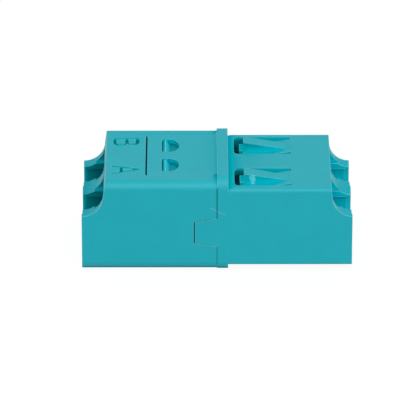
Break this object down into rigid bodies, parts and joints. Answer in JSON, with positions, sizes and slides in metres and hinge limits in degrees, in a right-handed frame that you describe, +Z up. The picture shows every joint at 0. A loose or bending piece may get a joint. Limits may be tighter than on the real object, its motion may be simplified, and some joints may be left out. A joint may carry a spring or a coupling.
{
  "type": "fibre optic adapter",
  "caption": "Panel adapter for LC fibre plugs: keyed moulded housings with railed ports, a flange and panel latch fingers, and split sleeves that line up ferrules.",
  "frame": {"origin": "below the plane where the two housings meet, midway between the sides, at the height of the flange's lower edge", "axes": "+X along the fibres, from the labelled housing to the flanged housing; +Y across the ports, from port A to port B; +Z up, towards the panel latch fingers"},
  "size_m": [0.0258, 0.0126, 0.0097],
  "materials": {
    "housing": "satin moulded",
    "holder": "satin moulded",
    "ceramic": "polished zirconia"
  },
  "bodies": {
    "root": {"labelled_housing": "housing", "flanged_housing": "housing", "labelled_sleeve_holder": "holder", "flanged_sleeve_holder": "holder", "port_a_sleeve": "ceramic", "port_b_sleeve": "ceramic"}
  },
  "joints": []
}
